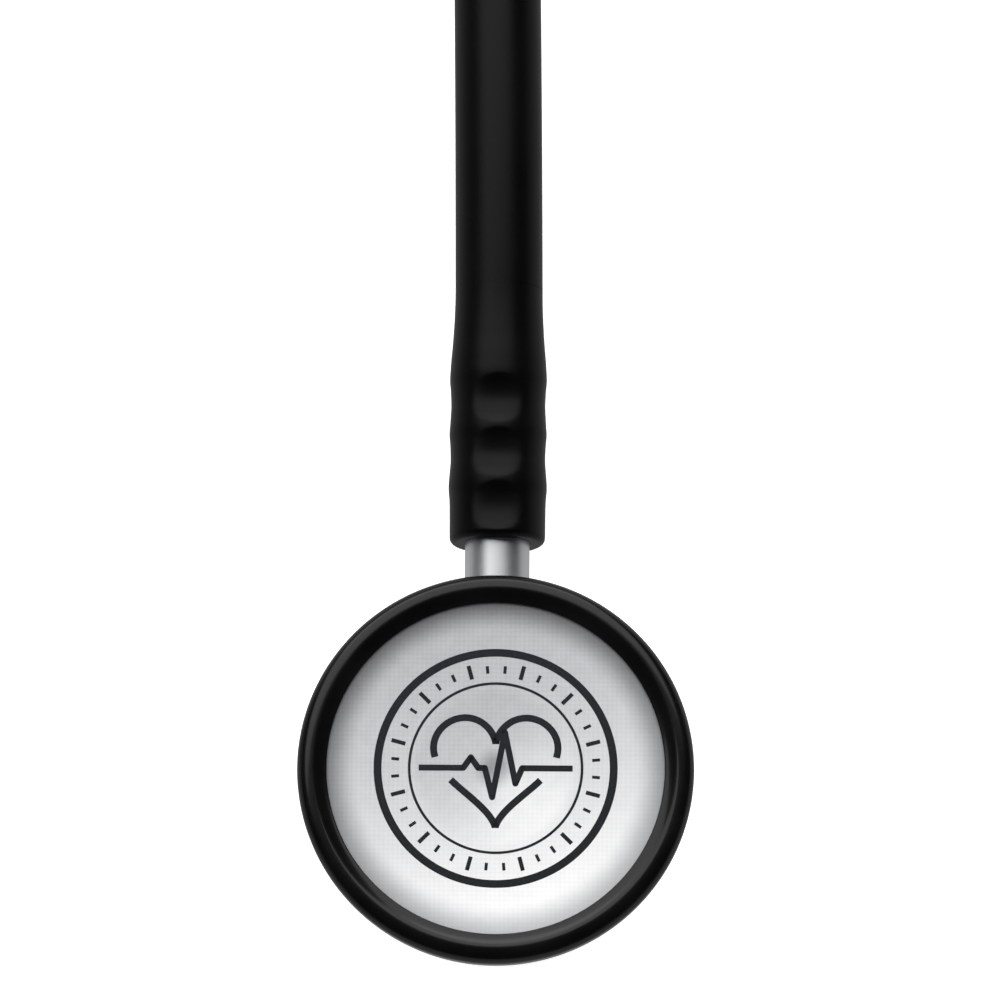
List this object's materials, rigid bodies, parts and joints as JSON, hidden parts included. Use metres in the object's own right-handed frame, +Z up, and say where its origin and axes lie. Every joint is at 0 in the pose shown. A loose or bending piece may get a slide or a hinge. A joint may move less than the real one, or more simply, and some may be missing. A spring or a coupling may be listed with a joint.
{
  "type": "stethoscope",
  "caption": "Double-sided stethoscope laid flat: rimmed diaphragm over a bell on a turning stem, flared black hose in a U-turn, and a sprung headset with bent metal ear tubes and soft tips.",
  "frame": {"origin": "on the chestpiece's axis, in the plane of the bell rim's contact face, which is the table the whole instrument lies on", "axes": "+Z up out of the diaphragm, +Y along the stem away from the chestpiece, +X to the right with the headset lying on the -X side"},
  "size_m": [0.1934, 0.3769, 0.0287],
  "materials": {
    "head_metal": "turned stainless steel, satin",
    "stem_metal": "satin turned steel",
    "rim_plastic": "glossy black moulding",
    "bell_rim_rubber": "soft black ring",
    "diaphragm_laminate": "woven glass laminate, off-white, printed",
    "surround_plastic": "thin flexible ring",
    "seal_rubber": "o-ring",
    "detent_steel": "hardened steel",
    "tubing": "soft black PVC, satin",
    "spring_steel": "flat spring steel",
    "ear_tube_metal": "satin anodised aluminium",
    "stud_metal": "turned aluminium",
    "ear_tip_rubber": "soft black silicone"
  },
  "bodies": {
    "tubing": {"stem": "stem_metal", "stem_o_ring": "seal_rubber", "tube_grip": "tubing", "hose": "tubing", "yoke": "tubing", "headset_spring": "spring_steel"},
    "chestpiece": {"chestpiece_body": "head_metal", "bell_rim": "bell_rim_rubber", "diaphragm_rim": "rim_plastic", "detent_ball": "detent_steel", "detent_spring": "detent_steel", "detent_screw": "detent_steel"},
    "diaphragm": {"diaphragm": "diaphragm_laminate", "diaphragm_surround": "surround_plastic"},
    "left_arm": {"left_arm": "tubing"},
    "right_arm": {"right_arm": "tubing"},
    "left_ear": {"left_ear_tube": "ear_tube_metal", "left_tip_stud": "stud_metal", "left_ear_tip": "ear_tip_rubber"},
    "right_ear": {"right_ear_tube": "ear_tube_metal", "right_tip_stud": "stud_metal", "right_ear_tip": "ear_tip_rubber"}
  },
  "joints": [
    {"name": "chestpiece_turn", "type": "hinge", "parent": "tubing", "child": "chestpiece", "pos_m": [0, 0, 0.0118], "axis": [0, 1, 0], "continuous": true},
    {"name": "diaphragm_press", "type": "slide", "parent": "chestpiece", "child": "diaphragm", "axis": [0, 0, -1], "range_m": [0, 0.0004], "stiffness_N_per_m": 2500},
    {"name": "left_spread", "type": "hinge", "parent": "tubing", "child": "left_arm", "pos_m": [-0.13, 0.104, 0.0062], "axis": [0, 0, -1], "range_deg": [-3, 12], "stiffness_Nm_per_rad": 3, "deforming": ["headset_spring"]},
    {"name": "right_spread", "type": "hinge", "parent": "tubing", "child": "right_arm", "pos_m": [-0.11, 0.104, 0.0062], "axis": [0, 0, 1], "range_deg": [-3, 12], "stiffness_Nm_per_rad": 3, "deforming": ["headset_spring"]},
    {"name": "left_swivel", "type": "hinge", "parent": "left_arm", "child": "left_ear", "pos_m": [-0.1505, 0.016, 0.00485], "axis": [-0.2195, -0.9754, -0.02], "range_deg": [-20, 20]},
    {"name": "right_swivel", "type": "hinge", "parent": "right_arm", "child": "right_ear", "pos_m": [-0.0895, 0.016, 0.00485], "axis": [-0.2195, 0.9754, 0.02], "range_deg": [-20, 20]}
  ]
}
